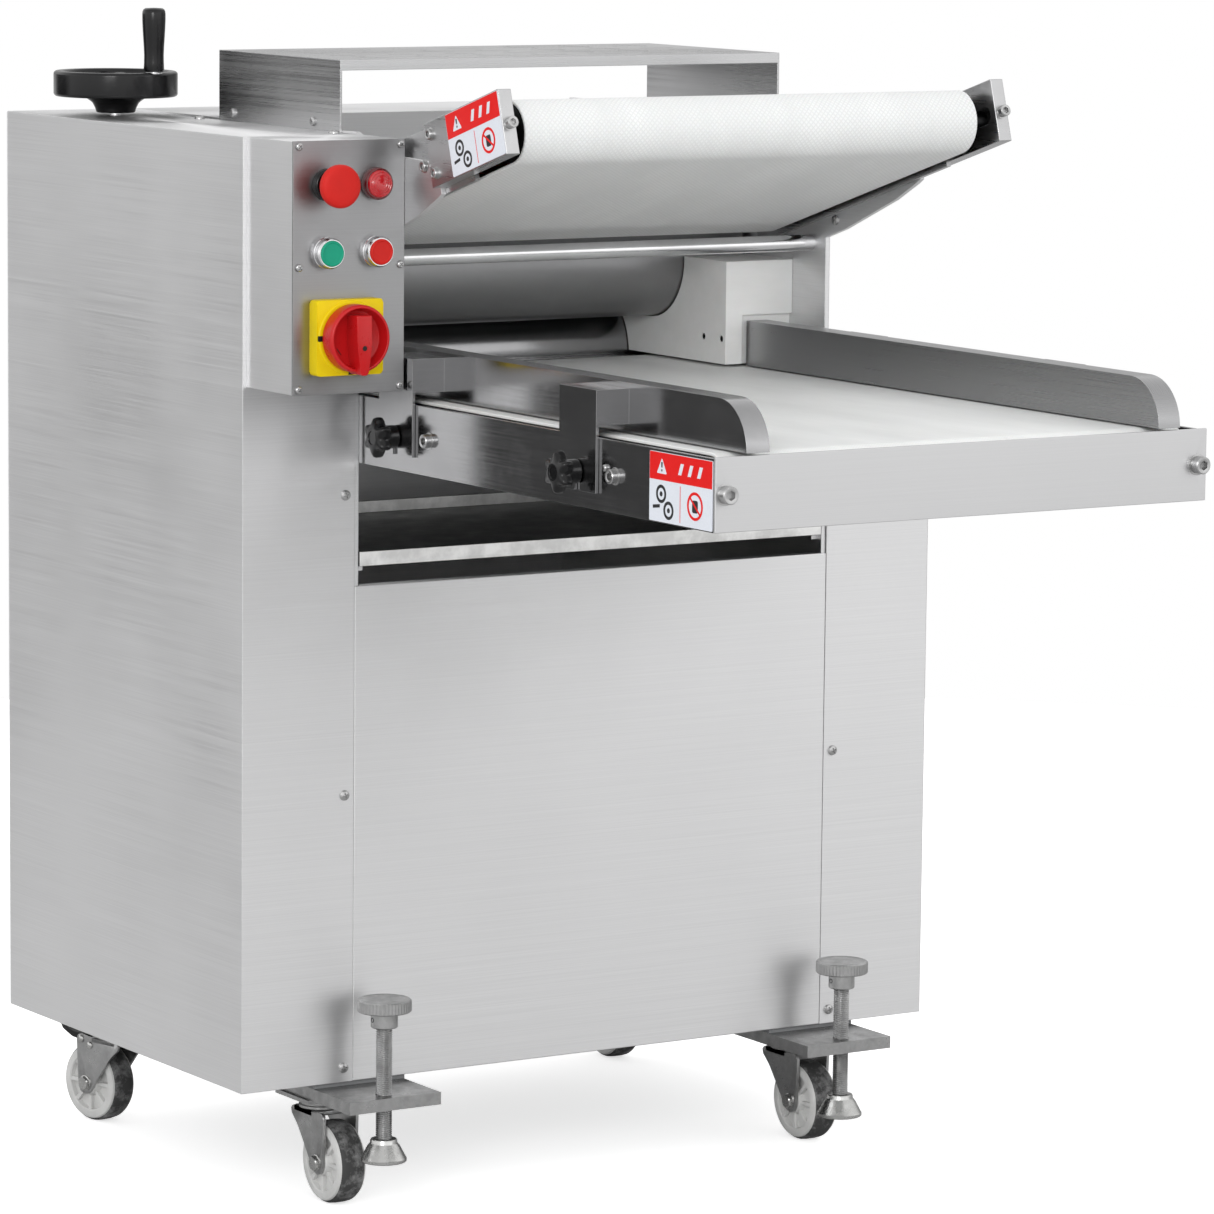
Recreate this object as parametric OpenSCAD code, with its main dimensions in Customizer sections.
// Dough sheeter: two sheeting rollers between side walls, an infeed table
// conveyor with removable fences, a raised return conveyor above it, and a
// closed sheet-steel body on four casters with two floor jacks.
// Millimetres, +Z up, -Y towards the operator, origin on the floor under the
// centre of the bounding box.

/* [Body] */
// Width over both side casings
body_w = 784; // [700:1:900]
// Depth of the casings
body_d = 490; // [440:1:560]
// Height of the casings' lower edge
body_z = 120; // [110:1:140]
// Height of the left casing's top
body_top = 1025; // [980:1:1080]
// Height of the right casing's top
right_top = 730; // [690:1:760]
// Distance from a casing's outer face to the near face of its side wall
case_w_left = 121; // [110:1:130]
// Distance between the inner faces of the side walls
clear_w = 530; // [500:1:560]
// Thickness of the side walls
wall_t = 5; // [4:1:8]
// Sheet thickness of casings and panels
sheet = 2; // [1:0.5:3]
// Height of the front panel's upper edge
panel_top = 597.5; // [560:0.5:620]

/* [Rollers] */
// Radius of both sheeting rollers
roller_r = 60; // [50:1:70]
// Upper roller's axis, distance behind the front face
upper_y = 198; // [180:1:220]
// Upper roller's axis height
upper_z = 883; // [860:1:900]
// Lower roller's axis, distance behind the front face
lower_y = 300; // [280:1:320]
// Lower roller's axis height
lower_z = 781; // [760:1:800]
// Radius of both roller shafts
shaft_r = 17.5; // [15:0.5:20]
// Travel of the upper roller towards the rear
gap_travel = 36; // [20:1:40]
// Radial clearance of every running fit
fit = 0.05; // [0.02:0.01:0.1]

/* [Table] */
// Height of the table belt's surface
table_z = 781; // [760:1:800]
// Reach of the table in front of the casings
table_reach = 612; // [560:1:660]
// Height of the table's side plates
table_side_h = 64; // [60:1:70]
// Width of both belts
belt_w = 500; // [480:1:510]
// Belt thickness
belt_t = 3; // [2:0.5:4]
// Outer radius of the table belt at its rollers
table_belt_r = 25; // [22:1:28]
// Distance between the fences
fence_gap = 420; // [400:1:440]
// Width of a fence
fence_w = 24; // [20:1:30]
// Height of a fence
fence_h = 44.5; // [40:0.5:50]

/* [Return conveyor] */
// Rise of the return conveyor towards the front
rise = 16.5; // [12:0.5:20]
// Nose roller's axis, distance in front of the casings
nose_y = 241; // [220:1:260]
// Nose roller's axis height
nose_z = 1038; // [1020:1:1050]
// Outer radius of the return belt at its rollers
conv_belt_r = 30; // [26:1:34]
// Distance between the return conveyor's roller axes
conv_len = 334; // [320:1:350]

/* [Controls] */
// Depth of the control box
box_d = 90; // [80:1:100]
// Height of the control box's lower edge
box_z = 792; // [780:1:810]
// Distance of the left operator column from the casing's outer face
col_a = 37.5; // [34:0.5:42]
// Distance of the right operator column from the casing's outer face
col_b = 89.5; // [84:0.5:94]
// Height of the upper operator row
row_a = 985; // [970:1:1000]
// Height of the lower operator row
row_b = 922.5; // [910:0.5:935]
// Height of the main switch's axis
switch_z = 845; // [835:1:855]
// Distance of the main switch's axis from the casing's outer face
switch_x = 55.5; // [50:0.5:64]

/* [Handwheel] */
// Handwheel axis, distance from the casing's outer face
hand_x = 61.5; // [50:0.5:70]
// Handwheel axis, distance behind the front face
hand_y = 373.5; // [350:0.5:400]
// Handwheel rim radius
hand_r = 61; // [55:1:70]

/* [Casters and jacks] */
// Caster wheel radius
wheel_r = 40; // [35:1:45]
// Caster wheel width
wheel_w = 29; // [24:1:34]
// Horizontal distance from swivel axis to wheel axis
trail = 27; // [20:1:34]
// Jack screw radius
jack_r = 8; // [6:0.5:10]

/* [Hidden] */
$fn = 48;

steel = [0.74, 0.74, 0.74];
bright = [0.82, 0.82, 0.83];
dark_steel = [0.55, 0.55, 0.56];
zinc = [0.62, 0.62, 0.62];
black = [0.06, 0.06, 0.06];
white = [0.92, 0.92, 0.90];
red = [0.85, 0.12, 0.10];
green = [0.05, 0.62, 0.45];
yellow = [0.98, 0.85, 0.05];

// side walls: inner faces of the left and right wall, and the middle plane
in_l = case_w_left + wall_t;
in_r = in_l + clear_w;
mid_x = (in_l + in_r) / 2;
out_l = case_w_left;
out_r = in_r + wall_t;
belt_l = mid_x - belt_w / 2;
belt_r = mid_x + belt_w / 2;
wall_top = body_top + 2;
base_z = body_z + 2;
base_t = 6;
side_t = 5;

// bolt heads and gland that set the front and rear limits
bolt_head = 10;
gland_len = 22;
front_y = -table_reach - bolt_head;
rear_y = body_d + gland_len;
home = [-body_w / 2, -(front_y + rear_y) / 2, 0];

// table
table_low = table_z - 2 - table_side_h;
table_side_z = table_z - 2;
table_axis_z = table_z - table_belt_r;
table_drive_y = 208;
table_nose_y = -table_reach + 32;
table_bolt_z = 748;
table_tension_x = side_t + 5;
table_bolt_y = [-128, -451];
conv_gap = 0.3;

// fences
fence_z = table_z + 1.5;
fence_front = -table_reach - 0.5;
fence_rear = 59;
clamp_y = [-393, -72];
clamp_w = 62;
clamp_low = 730;
clamp_top = 822;
clamp_t = 3;
clamp_gap = 0.3;
knob_z = 747;

// return conveyor
conv_dir = [cos(rise), -sin(rise)];
drive_y = -nose_y + conv_len * conv_dir[0];
drive_z = nose_z + conv_len * conv_dir[1];
conv_side_h = 66;
takeup_t = 14;
conv_shaft_r = 8;
conv_drive_shaft_r = 10;

// casters: axis positions, wheel direction in degrees, from +Y towards +X
pivot_fl = [110, 43];
pivot_fr = [657, 44];
pivot_rl = [86, 420];
pivot_rr = [698, 420];
dir_front = 180;
dir_rl = -14;
dir_rr = 0;
plate_z = 103;
caster_plate_t = 4;

// jacks: axis positions and the height of each foot's underside
jack_l = [129, -46];
jack_r_pos = [655, -47];
foot_l = 50;
foot_r = 36;
jack_plate_t = 12;

case_screw_z = [134, 398, 685];
panel_screw_x = [9, 116.4];
panel_screw_z = [797, 909.5, 1020.5];

grip_x = hand_x + 15;
grip_y = hand_y - 52;
grip_z = body_top + 45;

module place() {
  translate(home)
    children();
}

// a bar along X between two values, with its axis at y, z
module rod_x(x0, x1, y, z, r) {
  translate([x0, y, z])
    rotate([0, 90, 0])
      cylinder(h = x1 - x0, r = r);
}

// a bar along Y between two values, with its axis at x, z
module rod_y(y0, y1, x, z, r) {
  translate([x, y1, z])
    rotate([90, 0, 0])
      cylinder(h = y1 - y0, r = r);
}

// a box between two corners
module box(a, b) {
  translate(a)
    cube([b[0] - a[0], b[1] - a[1], b[2] - a[2]]);
}

// an outline given as [y, z] points, as a plate between two X values
module plate_x(x0, x1) {
  translate([x0, 0, 0])
    rotate([90, 0, 90])
      linear_extrude(height = x1 - x0)
        children();
}

// a rounded bar outline between two points on one line, radius r
module slot_2d(length, r) {
  translate([0, -r])
    square([length, 2 * r]);
  circle(r = r);
  translate([length, 0])
    circle(r = r);
}

// the return conveyor's own outline frame: +X runs down to the rear along it
module along_conveyor() {
  translate([-nose_y, nose_z])
    rotate([0, 0, -rise])
      children();
}

module angle_ring() {
  // floor ring of flat bars, with upstands under both walls
  box([4, 6, base_z], [body_w - 4, 50, base_z + base_t]);
  box([4, 440, base_z], [body_w - 4, body_d - 6, base_z + base_t]);
  box([out_l - 35, 6, base_z], [in_l + 14, body_d - 6, base_z + base_t]);
  box([in_r - 14, 6, base_z], [out_r + 35, body_d - 6, base_z + base_t]);
  box([in_l, 6, base_z], [in_l + 4, body_d - 6, base_z + 46]);
  box([in_r - 4, 6, base_z], [in_r, body_d - 6, base_z + 46]);
  // motor bed
  box([in_l, 180, base_z], [in_r, 210, base_z + base_t]);
  box([in_l, 280, base_z], [in_r, 310, base_z + base_t]);
  box([180, 160, base_z + base_t], [560, 330, base_z + base_t + 6]);
}

module base_frame() {
  color(dark_steel) place() {
    angle_ring();
    // pads above the jack plates and the rear caster plates
    box([81, 4, plate_z + jack_plate_t], [181, 77, base_z]);
    box([603, 4, plate_z + jack_plate_t], [703, 77, base_z]);
    box([50, 385, plate_z], [122, 455, base_z]);
    box([662, 385, plate_z], [734, 455, base_z]);
  }
}

module wall_outline() {
  difference() {
    polygon([[2.2, base_z + base_t], [body_d - 2.2, base_z + base_t],
      [body_d - 2.2, wall_top - 4], [body_d - 6, wall_top], [252, wall_top],
      [252, wall_top + 12], [222, wall_top + 12], [222, wall_top], [94, wall_top],
      [94, wall_top + 12], [64, wall_top + 12], [64, wall_top], [2.2, wall_top],
      [-40, 1008], [-90, 1008], [-140, 1006], [-169, 986], [-150, 974], [-115, 956],
      [-70, 938], [-30, 922], [2.2, 912]]);
    translate([upper_y, upper_z])
      slot_2d(gap_travel, shaft_r + 3);
    translate([lower_y, lower_z])
      circle(r = shaft_r + 3);
    translate([drive_y, drive_z])
      circle(r = conv_drive_shaft_r + 3);
    translate([table_drive_y, table_axis_z])
      circle(r = conv_drive_shaft_r + 3);
    translate([245, 240])
      circle(r = 16);
    // the ear ends where the take-up block begins
    along_conveyor()
      translate([-60, -60])
        square([157.5, 120]);
  }
}

module side_walls() {
  color(steel) place() {
    plate_x(out_l, in_l)
      wall_outline();
    plate_x(in_r, out_r)
      wall_outline();
    // rails that carry the flour tray
    box([in_l, 8, 611], [in_l + 8, 350, 615.7]);
    box([in_r - 8, 8, 611], [in_r, 350, 615.7]);
  }
}

module screw_holes_front(x, zs) {
  for (z = zs)
    rod_y(-5, 8, x, z, 2.6);
}

module left_casing() {
  color(steel) place()
    difference() {
      box([0, 0, body_z], [out_l - 0.2, body_d - sheet - 0.2, body_top]);
      box([sheet, sheet, body_z - 1], [out_l + 1, body_d + 1, body_top - sheet]);
      screw_holes_front(110.5, case_screw_z);
      translate([hand_x, hand_y, body_top - 10])
        cylinder(h = 20, r = 10);
      // cable passage into the control box
      rod_y(-5, 10, 62, 900, 20);
    }
}

module right_casing() {
  color(steel) place() {
    difference() {
      box([out_r + 0.2, 0, body_z], [body_w, body_d, right_top]);
      box([out_r - 1, sheet, body_z - 1], [body_w - sheet, body_d - sheet, right_top - sheet]);
      screw_holes_front(671.5, case_screw_z);
    }
    // set-back cover over the roller bearings
    difference() {
      box([out_r + 0.2, 142, right_top], [736, body_d - 4, 1000]);
      box([out_r - 1, 142 + sheet, right_top - 1], [736 - sheet, body_d - 4 - sheet, 998]);
    }
  }
}

module body_panels() {
  color(steel) place() {
    box([out_l, 0, body_z], [out_r, sheet, panel_top]);
    box([in_l + 0.5, sheet, panel_top - sheet], [in_r - 0.5, 14, panel_top]);
    box([out_l, body_d - sheet, body_z], [out_r, body_d, body_top - sheet]);
    // left casing's own rear sheet, with the cable entry low in it
    difference() {
      box([0, body_d - sheet, body_z], [out_l - 0.2, body_d, body_top]);
      rod_y(body_d - 10, body_d + 5, 60, 220, 9);
    }
  }
}

module rear_cover() {
  guide_c = [upper_y + gap_travel / 2, upper_z];
  color(steel) place() {
    // flat cover between the walls and its turned-down front edge
    box([in_l + 0.5, 335, body_top - sheet], [in_r - 0.5, body_d - sheet, body_top]);
    box([in_l + 0.5, 335, body_top - 22], [in_r - 0.5, 335 + sheet, body_top - sheet]);
    // curved guide that turns the sheet over the upper roller
    plate_x(in_l + 0.5, in_r - 0.5)
      translate(guide_c)
        intersection() {
          difference() {
            circle(r = 120);
            circle(r = 118);
          }
          polygon([[0, 0], [200, -30], [200, 300], [100, 173]]);
        }
    // web that hangs the guide from the cover
    box([in_l + 0.5, 335, upper_z - 18], [in_r - 0.5, 335 + sheet, body_top - 22]);
  }
}

module shelf_slots() {
  for (i = [0 : 6])
    for (j = [0 : 3])
      translate([160 + i * 64, 62 + j * 52, 0]) {
        slot_2d(34, 3);
        translate([17, 26])
          circle(r = 3.5);
      }
}

module top_shelf() {
  leg_l = out_l - sheet;
  leg_r = 613;
  top_z = 1093;
  color(steel) place()
    difference() {
      union() {
        difference() {
          box([leg_l, 28, body_top], [leg_r + sheet, 266, top_z]);
          box([leg_l + sheet, 27, body_top - 1], [leg_r, 267, top_z - sheet]);
        }
        // turned-down front and rear lips
        box([leg_l, 28, top_z - 10], [leg_r + sheet, 28 + sheet, top_z - 1]);
        box([leg_l, 266 - sheet, top_z - 10], [leg_r + sheet, 266, top_z - 1]);
        // right foot, reaching over the wall's top
        box([leg_r, 28, wall_top], [out_r, 60, wall_top + sheet]);
        box([leg_r, 100, wall_top], [out_r, 218, wall_top + sheet]);
      }
      translate([0, 0, top_z - 5])
        linear_extrude(height = 10)
          shelf_slots();
      // right leg ends above the foot's level
      box([leg_r - 1, 20, body_top - 1], [leg_r + sheet + 0.5, 280, wall_top]);
      for (y = [79, 237])
        rod_x(leg_l - 5, leg_l + 5, y, body_top + 8, 2.6);
    }
}

module control_box() {
  color(steel) place()
    difference() {
      box([4, -box_d + sheet, box_z], [120.6, 0, body_top]);
      box([4 + sheet, -box_d - 1, box_z + sheet], [120.6 - sheet, -sheet, body_top - sheet]);
      rod_y(-10, 5, 62, 900, 20);
    }
}

module control_panel() {
  color(dark_steel) place()
    difference() {
      box([3, -box_d, box_z - 0.5], [120.8, -box_d + sheet, body_top + 0.5]);
      for (x = panel_screw_x)
        for (z = panel_screw_z)
          rod_y(-box_d - 5, -box_d + 5, x, z, 2.1);
      for (p = [[col_a, row_a], [col_b, row_a], [col_a, row_b], [col_b, row_b]])
        rod_y(-box_d - 5, -box_d + 5, p[0], p[1], 11);
      rod_y(-box_d - 5, -box_d + 5, switch_x, switch_z, 12);
    }
}

// pan-head screw pointing in -Y: head outside the face, shank behind it
module pan_screw(x, y, z, head_r, shank_r, shank) {
  rod_y(y - 2.6, y, x, z, head_r);
  rod_y(y, y + shank, x, z, shank_r);
}

module panel_screws() {
  color(bright) place() {
    for (x = panel_screw_x)
      for (z = panel_screw_z)
        pan_screw(x, -box_d, z, 3.6, 2, 4);
    for (z = case_screw_z)
      pan_screw(110.5, 0, z, 5, 2.5, 6);
    for (z = case_screw_z)
      pan_screw(671.5, 0, z, 5, 2.5, 6);
    // screws that hold the shelf's left leg to the wall
    for (y = [79, 237])
      rod_x(out_l - sheet - 2.6, out_l - sheet, y, body_top + 8, 4.5);
    // screws on the casing's top edge
    for (y = [20, 286])
      translate([108, y, body_top])
        cylinder(h = 2.6, r = 5);
  }
}

module cheek_outline() {
  difference() {
    translate([60, table_z + 3])
      square([192, 102]);
    translate([upper_y, upper_z])
      slot_2d(gap_travel, roller_r + 1.5);
    translate([upper_y, upper_z])
      square([100, 20]);
    translate([lower_y, lower_z])
      circle(r = roller_r + 1.5);
  }
}

// cheek: 1 for the right-hand one, -1 for the left-hand one
module cheek(side) {
  inner = 186;
  difference() {
    plate_x(side > 0 ? mid_x + inner : in_l + 0.2, side > 0 ? in_r - 0.2 : mid_x - inner)
      cheek_outline();
    // step for the end of the fence
    if (side > 0)
      box([mid_x + inner + 19.5, 59, table_z], [in_r + 1, 64, 832.5]);
    if (side < 0)
      box([in_l - 1, 59, table_z], [mid_x - inner - 19.5, 64, 832.5]);
    for (y = [64 + 4, 100])
      if (side > 0)
        rod_x(mid_x + inner - 1, mid_x + inner + 6, y, 809, 3.5);
      else
        rod_x(mid_x - inner - 6, mid_x - inner + 1, y, 809, 3.5);
  }
}

module cheek_blocks() {
  color(white) place() {
    cheek(1);
    cheek(-1);
  }
}

module cross_bars() {
  color(bright) place() {
    rod_x(in_l, in_r, 28, 905, 8);
    rod_x(in_l, in_r, 450, 900, 12);
    rod_x(in_l, in_r, 450, 560, 12);
    rod_x(in_l, in_r, 40, 560, 12);
  }
}

module conveyor_side() {
  difference() {
    along_conveyor()
      translate([44, -conv_side_h / 2])
        square([conv_len + 2, conv_side_h]);
    along_conveyor()
      translate([conv_len, 0])
        circle(r = conv_drive_shaft_r + fit);
  }
}

module conveyor_frame() {
  color(steel) place() {
    plate_x(in_l, in_l + side_t)
      conveyor_side();
    plate_x(in_r - side_t, in_r)
      conveyor_side();
    // slider bed under the belt's upper run, and its two cross tubes
    plate_x(in_l + side_t, in_r - side_t)
      along_conveyor()
        translate([38, 22])
          square([250, 3]);
    plate_x(in_l + side_t, in_r - side_t)
      along_conveyor()
        translate([70, 2])
          square([20, 20]);
    plate_x(in_l + side_t, in_r - side_t)
      along_conveyor()
        translate([240, 2])
          square([20, 20]);
  }
}

module belt_loop(length, outer) {
  difference() {
    slot_2d(length, outer);
    slot_2d(length, outer - belt_t);
  }
}

module conveyor_belt() {
  color(white) place()
    plate_x(belt_l, belt_r)
      along_conveyor()
        belt_loop(conv_len, conv_belt_r);
}

module takeup_outline() {
  difference() {
    along_conveyor()
      translate([-39, -28])
        square([136, 60]);
    along_conveyor()
      translate([-22, 0])
        slot_2d(22, conv_shaft_r + fit);
  }
}

module takeup_blocks() {
  color(bright) place() {
    difference() {
      plate_x(in_l - takeup_t, in_l)
        takeup_outline();
      takeup_screw_holes(in_l - takeup_t / 2);
    }
    difference() {
      plate_x(in_r, in_r + takeup_t)
        takeup_outline();
      takeup_screw_holes(in_r + takeup_t / 2);
    }
  }
}

// a bar along the conveyor's own direction, from a to b, at height n over its centre line
module rod_conveyor(a, b, x, n, r) {
  translate([x, -nose_y, nose_z])
    rotate([-rise, 0, 0])
      translate([0, a, n])
        rotate([-90, 0, 0])
          cylinder(h = b - a, r = r);
}

module takeup_screw_holes(x) {
  rod_conveyor(-45, -29, x, 0, 3.2);
}

// socket-head cap screw pointing in +X from the face at x
module cap_bolt_x(x, y, z, r, h, side) {
  difference() {
    rod_x(side < 0 ? x - h : x, side < 0 ? x : x + h, y, z, r);
    rod_x(side < 0 ? x - h - 1 : x + h * 0.45, side < 0 ? x - h * 0.45 : x + h + 1, y, z, r * 0.42);
  }
}

module socket_bolts() {
  color(bright) place() {
    // table cross tubes, both sides
    for (y = table_bolt_y) {
      cap_bolt_x(in_l, y, table_bolt_z, 6.5, 7, -1);
      cap_bolt_x(in_r, y, table_bolt_z, 6.5, 7, 1);
    }
    cap_bolt_x(in_l, -436, 754, 3.2, 3, -1);
    cap_bolt_x(in_r, -436, 754, 3.2, 3, 1);
    // take-up blocks to the conveyor's side plates
    for (p = [[-152, 1033], [-142, 1003], [-162, 998]]) {
      cap_bolt_x(in_l - takeup_t, p[0], p[1], 5, 4, -1);
      cap_bolt_x(in_r + takeup_t, p[0], p[1], 5, 4, 1);
    }
    // ears of the side walls
    cap_bolt_x(out_r, -15, 930, 5, 4, 1);
    // belt tension screws, return conveyor
    for (x = [in_l - takeup_t / 2, in_r + takeup_t / 2]) {
      rod_conveyor(-47, -39, x, 0, 5.5);
      rod_conveyor(-39, -30.5, x, 0, 3);
    }
    // belt tension screws, table
    for (x = [in_l + table_tension_x, in_r - table_tension_x])
      difference() {
        union() {
          rod_y(front_y, -table_reach, x, table_bolt_z, 8);
          rod_y(-table_reach, table_nose_y - 18, x, table_bolt_z, 4.8);
        }
        rod_y(front_y - 1, front_y + 5, x, table_bolt_z, 3.6);
      }
  }
}

module table_side() {
  difference() {
    translate([-table_reach + 3, table_low])
      square([table_reach - 3 + 247, table_side_h]);
    translate([table_drive_y, table_axis_z])
      circle(r = conv_drive_shaft_r + fit);
    translate([lower_y, lower_z])
      circle(r = shaft_r + 40);
  }
}

// slide block that carries the table's nose roller
module nose_block(x0) {
  difference() {
    box([x0, table_nose_y - 18, 738], [x0 + 9.6, table_nose_y + 18, 774]);
    rod_x(x0 - 1, x0 + 11, table_nose_y, table_axis_z, conv_shaft_r + fit);
  }
}

module table_frame() {
  color(bright) place() {
    plate_x(in_l, in_l + side_t)
      table_side();
    plate_x(in_r - side_t, in_r)
      table_side();
    // slider bed and cross tubes between the belt's runs
    box([in_l + side_t, table_nose_y + 36, table_z - belt_t - 5],
      [in_r - side_t, table_drive_y - 36, table_z - belt_t - 2]);
    for (y = table_bolt_y)
      box([in_l + side_t, y - 9, 740], [in_r - side_t, y + 9, table_z - belt_t - 5]);
    // bridge plate between the belt and the lower roller
    box([in_l + side_t, 224, table_z - 4], [in_r - side_t, lower_y - roller_r - 1.2, table_z - 1]);
    nose_block(in_l + side_t);
    nose_block(in_r - side_t - 9.6);
  }
}

module table_front_plate() {
  color(bright) place()
    difference() {
      box([in_l, -table_reach, table_low], [in_r, -table_reach + 3, table_z - 0.5]);
      for (x = [in_l + table_tension_x, in_r - table_tension_x])
        rod_y(-table_reach - 1, -table_reach + 5, x, table_bolt_z, 5);
    }
}

module table_belt() {
  color(white) place()
    plate_x(belt_l, belt_r)
      translate([table_nose_y, table_axis_z])
        belt_loop(table_drive_y - table_nose_y, table_belt_r);
}

module label_plates() {
  color(white) place() {
    plate_x(in_l - 0.8, in_l)
      translate([-table_reach + 4, table_low + 1])
        square([100, table_side_h - 3]);
    plate_x(in_l - takeup_t - 0.8, in_l - takeup_t)
      along_conveyor()
        translate([-38, -27])
          square([95, 58]);
  }
}

module gearmotor() {
  color(dark_steel) place() {
    difference() {
      union() {
        box([184, 188, base_z + base_t + 6], [300, 302, 292]);
        rod_x(300, 520, 245, 225, 64);
        rod_x(520, 545, 245, 225, 58);
        box([330, 195, base_z + base_t + 6], [500, 295, 172]);
        box([360, 215, 280], [450, 275, 316]);
      }
      rod_x(180, 230, 245, 240, 12);
    }
    rod_x(64, 230, 245, 240, 12);
    rod_x(72, 80, 245, 240, 31);
  }
}

module drive_chain() {
  color(dark_steel) place()
    plate_x(73, 79)
      difference() {
        hull() {
          translate([245, 240])
            circle(r = 38);
          translate([lower_y, lower_z])
            circle(r = 57);
        }
        hull() {
          translate([245, 240])
            circle(r = 31.6);
          translate([lower_y, lower_z])
            circle(r = 50.6);
        }
      }
}

module bearing_side(a, b) {
  // lower roller's bearing
  difference() {
    rod_x(a, b - 4, lower_y, lower_z, 45);
    rod_x(a - 1, b + 1, lower_y, lower_z, shaft_r + fit);
  }
  // guide rails above and below the sliding blocks
  box([a, upper_y - 43, upper_z + 35.3], [b, upper_y + 80, upper_z + 47]);
  box([a, upper_y - 43, upper_z - 42], [b, upper_y + 80, upper_z - 35.3]);
}

module bearing_housings() {
  color(dark_steel) place() {
    bearing_side(97, out_l);
    bearing_side(out_r, 685);
    // adjuster box in the left casing
    difference() {
      box([40, 335, 850], [out_l, 410, 916]);
      translate([hand_x, hand_y, 840])
        cylinder(h = 90, r = 6 + fit);
      rod_y(330, 415, 108, upper_z, 8.4);
    }
    // adjuster box on the right wall
    difference() {
      box([out_r, 335, 850], [700, 410, 916]);
      rod_y(330, 415, 674, upper_z, 8.4);
    }
    // tube around the shaft that links both boxes
    rod_x(in_l, in_r, 385, 866, 12);
  }
}

module caster_plate(p) {
  difference() {
    box([p[0] - 32, p[1] - 32, plate_z - caster_plate_t], [p[0] + 32, p[1] + 32, plate_z]);
    translate([p[0], p[1], plate_z - 10])
      cylinder(h = 20, r = 5 + fit);
  }
}

module foot_plates() {
  color(zinc) place() {
    difference() {
      box([81, -65, plate_z], [181, 77, plate_z + jack_plate_t]);
      translate([jack_l[0], jack_l[1], plate_z - 5])
        cylinder(h = 30, r = jack_r + fit);
      translate([pivot_fl[0], pivot_fl[1], plate_z - 1])
        cylinder(h = 8, r = 7);
    }
    difference() {
      box([603, -65, plate_z], [703, 77, plate_z + jack_plate_t]);
      translate([jack_r_pos[0], jack_r_pos[1], plate_z - 5])
        cylinder(h = 30, r = jack_r + fit);
      translate([pivot_fr[0], pivot_fr[1], plate_z - 1])
        cylinder(h = 8, r = 7);
    }
    caster_plate(pivot_fl);
    caster_plate(pivot_fr);
    caster_plate(pivot_rl);
    caster_plate(pivot_rr);
  }
}

module bezel(x, z, r, h, bore) {
  difference() {
    rod_y(-box_d - h, -box_d, x, z, r);
    rod_y(-box_d - h - 1, -box_d + 1, x, z, bore);
  }
}

module operator_bases() {
  color(yellow) place()
    difference() {
      box([switch_x - 35, -box_d - 16, switch_z - 35], [switch_x + 35, -box_d, switch_z + 35]);
      rod_y(-box_d - 17, -box_d - 6, switch_x, switch_z, 9 + fit);
    }
  color(bright) place() {
    bezel(col_a, row_b, 14.5, 12, 12 + fit);
    bezel(col_b, row_b, 14.5, 12, 12 + fit);
    bezel(col_a, row_a, 15, 8, 9 + fit);
  }
  color(red) place() {
    rod_y(-box_d - 8, -box_d, col_b, row_a, 15);
    rod_y(-box_d - 13, -box_d - 8, col_b, row_a, 13);
  }
}

module cable_gland() {
  color(black) place()
    difference() {
      union() {
        rod_y(body_d - 4, body_d, 60, 220, 8.9);
        rod_y(body_d, body_d + 6, 60, 220, 13);
        rod_y(body_d + 6, body_d + gland_len, 60, 220, 10);
      }
      rod_y(body_d - 5, body_d + gland_len + 1, 60, 220, 5);
    }
}

module roller_block(x0, x1, xs) {
  difference() {
    union() {
      box([x0, upper_y - 35, upper_z - 35], [x1, upper_y + 35, upper_z + 35]);
      rod_y(upper_y + 35, 370, xs, upper_z, 8);
    }
    rod_x(x0 - 1, x1 + 1, upper_y, upper_z, shaft_r + fit);
  }
}

module roller_blocks() {
  color(dark_steel) place() {
    roller_block(97, out_l - 0.3, 108);
    roller_block(out_r + 0.3, 685, 674);
  }
}

module upper_roller() {
  color(bright) place() {
    rod_x(in_l + side_t + 0.5, in_r - side_t - 0.5, upper_y, upper_z, roller_r);
    rod_x(88, in_l + side_t + 0.5, upper_y, upper_z, shaft_r);
    rod_x(in_r - side_t - 0.5, 688, upper_y, upper_z, shaft_r);
    rod_x(88, 95, upper_y, upper_z, 42);
  }
}

module lower_roller() {
  color(bright) place() {
    rod_x(in_l + side_t + 0.5, in_r - side_t - 0.5, lower_y, lower_z, roller_r);
    rod_x(66, in_l + side_t + 0.5, lower_y, lower_z, shaft_r);
    rod_x(in_r - side_t - 0.5, 688, lower_y, lower_z, shaft_r);
    rod_x(72, 80, lower_y, lower_z, 50);
  }
}

module handwheel() {
  rim_z = body_top + 19;
  color(black) place()
    translate([hand_x, hand_y, 0])
      rotate_extrude($fn = 72)
        polygon([[6, rim_z - 16], [19, rim_z - 16], [20, rim_z - 12], [23, rim_z - 6],
          [31, rim_z - 0.5], [hand_r - 12, rim_z + 3], [hand_r - 11, rim_z + 1],
          [hand_r - 2, rim_z], [hand_r, rim_z + 2], [hand_r, rim_z + 23],
          [hand_r - 2, rim_z + 25], [hand_r - 9, rim_z + 25], [hand_r - 11, rim_z + 22],
          [hand_r - 12, rim_z + 9], [24, rim_z + 8], [20, rim_z + 14], [6, rim_z + 14]]);
  color(bright) place() {
    translate([hand_x, hand_y, 852])
      cylinder(h = rim_z + 16 - 852, r = 6);
    translate([grip_x, grip_y, rim_z + 10])
      cylinder(h = 70, r = 4);
  }
}

module wheel_grip() {
  color(black) place()
    translate([grip_x, grip_y, grip_z])
      rotate_extrude()
        polygon([[4 + fit, 0], [9, 0], [10, 2], [9.6, 16], [10.6, 34], [11.4, 50],
          [11.4, 57], [10.4, 60.5], [8, 62], [4 + fit, 62]]);
}

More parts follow.
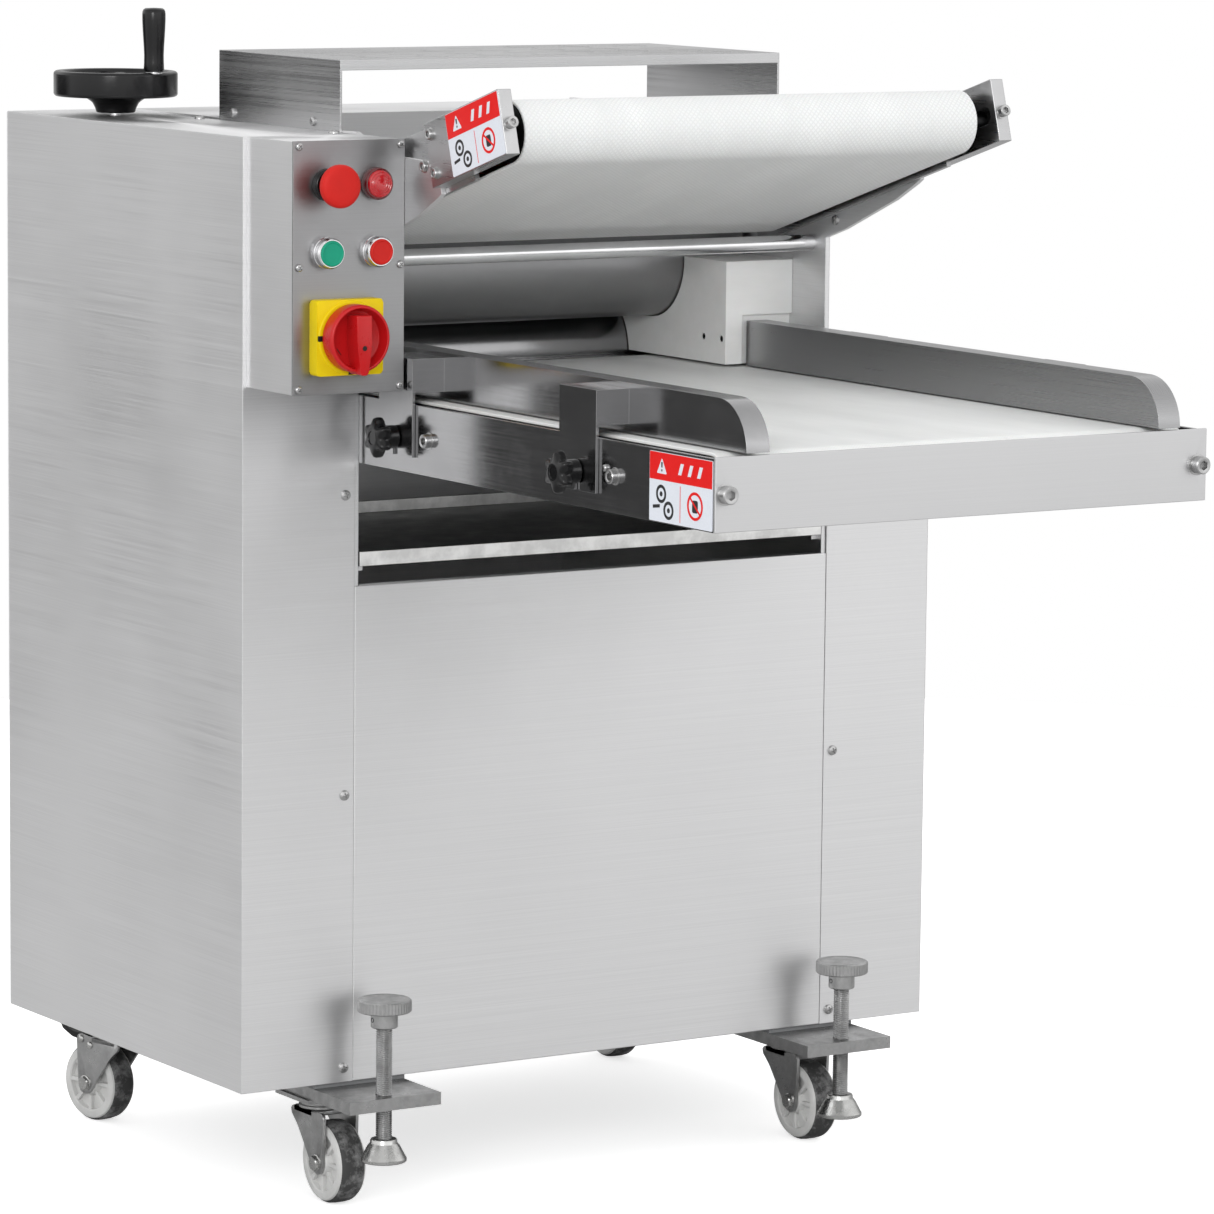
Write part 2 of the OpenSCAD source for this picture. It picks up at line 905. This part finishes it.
module estop_button() {
  color(red) place() {
    rod_y(-box_d - 18, -box_d + 14, col_a, row_a, 9);
    translate([col_a, -box_d - 18, row_a])
      rotate([90, 0, 0])
        rotate_extrude()
          polygon([[0, 0], [14, 0], [19.5, 4], [20, 6], [20, 11], [18.5, 13.5], [0, 14.5]]);
  }
}

module push_cap(x, z) {
  rod_y(-box_d - 14, -box_d - 3, x, z, 12);
  rod_y(-box_d - 3, -box_d + 12, x, z, 8);
}

module start_button() {
  color(green) place()
    push_cap(col_a, row_b);
}

module stop_button() {
  color(red) place()
    push_cap(col_b, row_b);
}

module switch_handle() {
  face = -box_d - 16.4;
  color(red) place() {
    rod_y(face, -box_d - 8, switch_x, switch_z, 9);
    translate([switch_x, face, switch_z])
      rotate([90, 0, 0])
        rotate_extrude()
          polygon([[0, 0], [30.5, 0], [31.5, 2], [31.5, 16], [30, 18], [28, 18], [26, 6], [0, 4]]);
    // pointer bar, pointing down
    translate([switch_x, face, switch_z])
      rotate([90, 0, 0])
        linear_extrude(height = 25)
          polygon([[-8, 22], [8, 22], [7, -10], [4, -33], [-4, -33], [-7, -10]]);
  }
}

module fence_outline(h, back, front) {
  translate([front + h, 0])
    square([back - front - h, h]);
  intersection() {
    translate([front + h, 0])
      circle(r = h, $fn = 96);
    translate([front, 0])
      square([h, h]);
  }
}

// fence with its two clamp brackets; side is -1 on the left, 1 on the right
module fence(side) {
  near = fence_gap / 2;
  x0 = side < 0 ? mid_x - near - fence_w : mid_x + near;
  x1 = x0 + fence_w;
  difference() {
    plate_x(x0, x1)
      translate([0, fence_z])
        fence_outline(fence_h, fence_rear, fence_front);
    plate_x(x0 + sheet, x1 - sheet)
      translate([0, fence_z - 0.01])
        fence_outline(fence_h - sheet, fence_rear - sheet, fence_front + sheet);
  }
  for (y = clamp_y)
    clamp_bracket(side, y, side < 0 ? x0 : x1);
}

module clamp_bracket(side, y, xf) {
  xo = side < 0 ? in_l - clamp_gap - clamp_t : in_r + clamp_gap;
  xi = xo + clamp_t;
  a = side < 0 ? xi : xf;
  b = side < 0 ? xf : xo;
  difference() {
    box([xo, y - clamp_w / 2, clamp_low], [xi, y + clamp_w / 2, clamp_top]);
    // open slot for the clamp screw
    box([xo - 1, y - 4.4, clamp_low - 1], [xi + 1, y + 4.4, knob_z]);
    rod_x(xo - 1, xi + 1, y, knob_z, 4.4);
  }
  box([a, y - clamp_w / 2, clamp_top - clamp_t], [b, y + clamp_w / 2, clamp_top]);
  box([a, y - clamp_w / 2, 790], [b, y - clamp_w / 2 + clamp_t, clamp_top - clamp_t]);
  box([a, y + clamp_w / 2 - clamp_t, 790], [b, y + clamp_w / 2, clamp_top - clamp_t]);
}

module left_fence() {
  color(bright) place()
    fence(-1);
}

module right_fence() {
  color(bright) place()
    fence(1);
}

// star knob whose hub sits on the bracket's outer face
module star_knob(side, y) {
  face = side < 0 ? in_l - clamp_gap - clamp_t - 0.3 : in_r + clamp_gap + clamp_t + 0.3;
  translate([face, y, knob_z])
    rotate([0, side * 90, 0]) {
      cylinder(h = 14, r = 11);
      translate([0, 0, 12])
        linear_extrude(height = 12)
          star_2d();
      translate([0, 0, 24])
        cylinder(h = 1.5, r = 9);
      // screw down to just short of the side plate
      translate([0, 0, -3.5])
        cylinder(h = 4, r = 4);
    }
}

module star_2d() {
  circle(r = 12);
  for (i = [0 : 5])
    rotate([0, 0, i * 60]) {
      translate([13.5, 0])
        circle(r = 5.5);
      translate([0, -5.5])
        square([13.5, 11]);
    }
}

module star_knob_lf() {
  color(black) place()
    star_knob(-1, clamp_y[0]);
}

module star_knob_lr() {
  color(black) place()
    star_knob(-1, clamp_y[1]);
}

module star_knob_rf() {
  color(black) place()
    star_knob(1, clamp_y[0]);
}

module star_knob_rr() {
  color(black) place()
    star_knob(1, clamp_y[1]);
}

// caster frame: swivel axis at p, +Y of the child geometry points along the trail
module at_caster(p, direction) {
  translate([p[0], p[1], 0])
    rotate([0, 0, -direction])
      children();
}

module fork_leg() {
  polygon([[-22, 88], [22, 88], [37, 90], [40, 86], [39, 60], [trail + 10, wheel_r - 6],
    [trail + 5, wheel_r - 11], [trail - 5, wheel_r - 11], [trail - 10, wheel_r - 4], [-10, 70], [-24, 82]]);
}

module fork(braked) {
  leg_in = wheel_w / 2 + 2;
  leg_t = 3;
  difference() {
    union() {
      plate_x(leg_in, leg_in + leg_t)
        fork_leg();
      plate_x(-leg_in - leg_t, -leg_in)
        fork_leg();
      box([-leg_in - leg_t, -22, 84], [leg_in + leg_t, 22, 88]);
      translate([0, 0, 88])
        cylinder(h = plate_z - caster_plate_t - 88.3, r = 21);
    }
    if (braked)
      rod_x(-30, 30, 33, 85, 3 + fit);
  }
  // king pin
  translate([0, 0, 90])
    cylinder(h = plate_z - 90.4, r = 5);
  // wheel axle with its bolt head and nut
  rod_x(-leg_in - leg_t, leg_in + leg_t, trail, wheel_r, 6);
  rod_x(-leg_in - leg_t - 4, -leg_in - leg_t, trail, wheel_r, 8);
  rod_x(leg_in + leg_t, leg_in + leg_t + 5, trail, wheel_r, 8);
}

module wheel() {
  translate([0, trail, wheel_r])
    rotate([0, 90, 0])
      rotate_extrude($fn = 96)
        polygon([[6 + fit, -wheel_w / 2 - 1.5], [12, -wheel_w / 2 - 1.5], [14, -wheel_w / 2 + 4],
          [26, -wheel_w / 2 + 4], [28, -wheel_w / 2], [36, -wheel_w / 2],
          [39.2, -wheel_w / 2 + 4], [wheel_r, -4], [wheel_r, 4], [39.2, wheel_w / 2 - 4],
          [36, wheel_w / 2], [28, wheel_w / 2], [26, wheel_w / 2 - 4], [14, wheel_w / 2 - 4],
          [12, wheel_w / 2 + 1.5], [6 + fit, wheel_w / 2 + 1.5]]);
}

// brake pedal: its pin turns in the fork's ears
module pedal() {
  rod_x(-19.8, 19.8, 33, 85, 3);
  rod_x(-15, 15, 33, 85, 4.4);
  plate_x(-15, 15)
    polygon([[33, 86], [37, 82.5], [52, 84], [66, 90], [72, 97], [69, 99], [62, 93],
      [50, 89.4], [33, 89.4]]);
}

module fork_fl() {
  color(zinc) place()
    at_caster(pivot_fl, dir_front)
      fork(false);
}

module fork_fr() {
  color(zinc) place()
    at_caster(pivot_fr, dir_front)
      fork(false);
}

module fork_rl() {
  color(zinc) place()
    at_caster(pivot_rl, dir_rl)
      fork(true);
}

module fork_rr() {
  color(zinc) place()
    at_caster(pivot_rr, dir_rr)
      fork(true);
}

module wheel_fl() {
  color(white) place()
    at_caster(pivot_fl, dir_front)
      wheel();
}

module wheel_fr() {
  color(white) place()
    at_caster(pivot_fr, dir_front)
      wheel();
}

module wheel_rl() {
  color(white) place()
    at_caster(pivot_rl, dir_rl)
      wheel();
}

module wheel_rr() {
  color(white) place()
    at_caster(pivot_rr, dir_rr)
      wheel();
}

module pedal_rl() {
  color(black) place()
    at_caster(pivot_rl, dir_rl)
      pedal();
}

module pedal_rr() {
  color(black) place()
    at_caster(pivot_rr, dir_rr)
      pedal();
}

// jack foot: a cone with a socket for the screw's end
module jack_foot(p, low) {
  translate([p[0], p[1], low])
    rotate_extrude()
      polygon([[0, 0], [22, 0], [22, 4], [13, 20], [12, 22], [6 + fit, 22], [6 + fit, 8], [0, 8]]);
}

// jack screw: tip, threaded rod, collar and knob
module jack_screw(p, low) {
  translate([p[0], p[1], low]) {
    translate([0, 0, 8.3])
      cylinder(h = 14.2, r = 6);
    translate([0, 0, 22.4])
      cylinder(h = 109, r = jack_r);
    translate([0, 0, 130])
      cylinder(h = 15.5, r = 13);
    translate([0, 0, 145.5])
      cylinder(h = 12, r = 26);
  }
}

module jack_foot_l() {
  color(zinc) place()
    jack_foot(jack_l, foot_l);
}

module jack_foot_r() {
  color(zinc) place()
    jack_foot(jack_r_pos, foot_r);
}

module jack_screw_l() {
  color(zinc) place()
    jack_screw(jack_l, foot_l);
}

module jack_screw_r() {
  color(zinc) place()
    jack_screw(jack_r_pos, foot_r);
}

module flour_tray() {
  color(dark_steel) place()
    difference() {
      box([in_l + 0.8, 1, 616], [in_r - 0.8, 356, 630]);
      box([in_l + 0.8 + sheet, 1 + sheet, 616 + sheet], [in_r - 0.8 - sheet, 356 - sheet, 640]);
    }
}

module conveyor_drive_roller() {
  color(bright) place() {
    rod_x(belt_l, belt_r, drive_y, drive_z, conv_belt_r - belt_t - conv_gap);
    rod_x(92, in_r + 2, drive_y, drive_z, conv_drive_shaft_r);
    rod_x(94, 101, drive_y, drive_z, 26);
  }
}

module conveyor_nose_roller() {
  color(bright) place() {
    rod_x(belt_l, belt_r, -nose_y, nose_z, conv_belt_r - belt_t - conv_gap);
    rod_x(in_l - takeup_t + 1, in_r + takeup_t - 1, -nose_y, nose_z, conv_shaft_r);
  }
}

module table_drive_roller() {
  color(bright) place() {
    rod_x(belt_l, belt_r, table_drive_y, table_axis_z, table_belt_r - belt_t - conv_gap);
    rod_x(82, in_r + 2, table_drive_y, table_axis_z, conv_drive_shaft_r);
    rod_x(84, 91, table_drive_y, table_axis_z, 26);
  }
}

module table_nose_roller() {
  color(bright) place() {
    rod_x(belt_l, belt_r, table_nose_y, table_axis_z, table_belt_r - belt_t - conv_gap);
    rod_x(in_l + side_t + 0.4, in_r - side_t - 0.4, table_nose_y, table_axis_z, conv_shaft_r);
  }
}

base_frame();
side_walls();
left_casing();
right_casing();
body_panels();
rear_cover();
top_shelf();
control_box();
control_panel();
panel_screws();
cheek_blocks();
cross_bars();
conveyor_frame();
conveyor_belt();
takeup_blocks();
socket_bolts();
table_frame();
table_front_plate();
table_belt();
label_plates();
gearmotor();
drive_chain();
bearing_housings();
foot_plates();
operator_bases();
cable_gland();
roller_blocks();
upper_roller();
lower_roller();
handwheel();
wheel_grip();
estop_button();
start_button();
stop_button();
switch_handle();
left_fence();
right_fence();
star_knob_lf();
star_knob_lr();
star_knob_rf();
star_knob_rr();
fork_fl();
fork_fr();
fork_rl();
fork_rr();
wheel_fl();
wheel_fr();
wheel_rl();
wheel_rr();
pedal_rl();
pedal_rr();
jack_foot_l();
jack_foot_r();
jack_screw_l();
jack_screw_r();
flour_tray();
conveyor_drive_roller();
conveyor_nose_roller();
table_drive_roller();
table_nose_roller();
